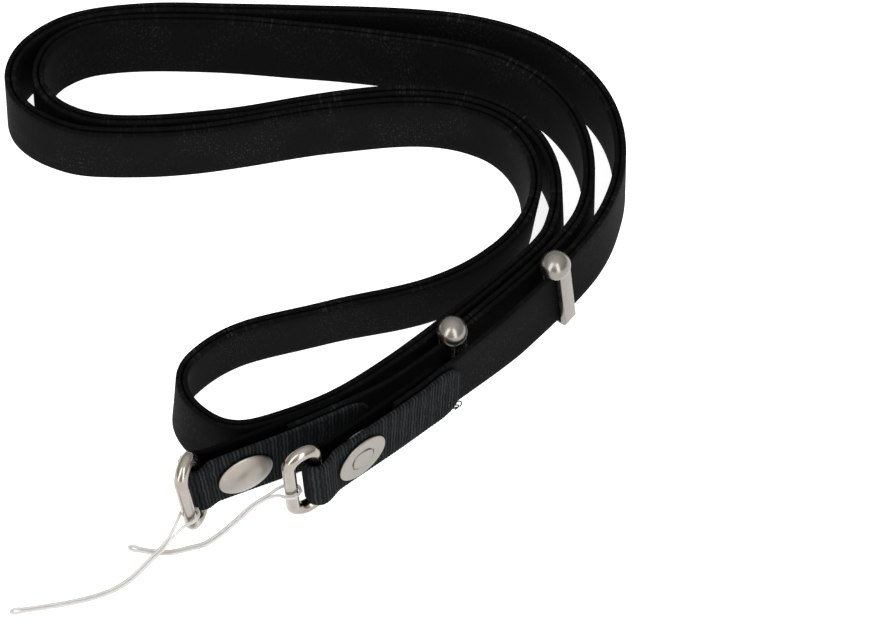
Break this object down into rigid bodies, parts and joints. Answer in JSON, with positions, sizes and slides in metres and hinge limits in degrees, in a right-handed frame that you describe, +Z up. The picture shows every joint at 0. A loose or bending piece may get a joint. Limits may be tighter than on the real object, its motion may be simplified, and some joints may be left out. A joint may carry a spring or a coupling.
{
  "type": "phone crossbody strap",
  "caption": "Long black webbing strap folded in a bundle on edge, two ball adjusters, ribbon end tabs with snap buttons, wire rings and thin cord loops",
  "frame": {"origin": "on the ground under the middle of the folded strap, its tabs and metal parts, without the cord loops", "axes": "+Z up from the ground the bundle stands on; +X along the bundle's longer side, towards its right bend; +Y towards its long far loop"},
  "size_m": [0.1174, 0.1297, 0.0228],
  "materials": {
    "webbing": "black satin webbing, fine cross ribs",
    "ribbon": "dark blue-grey grosgrain ribbon",
    "metal": "polished warm nickel plate",
    "cord": "thin translucent white cord"
  },
  "bodies": {
    "root": {"strap_a": "webbing", "strap_b": "webbing", "end_tab_a": "ribbon", "end_tab_b": "ribbon", "ring_a": "metal", "ring_b": "metal", "snap_a_cap": "metal", "snap_a_socket": "metal", "snap_a_back": "metal", "snap_b_cap": "metal", "snap_b_socket": "metal", "snap_b_back": "metal", "adjuster_1": "metal", "adjuster_2": "metal", "cord_loop_a": "cord", "cord_loop_b": "cord"}
  },
  "joints": []
}
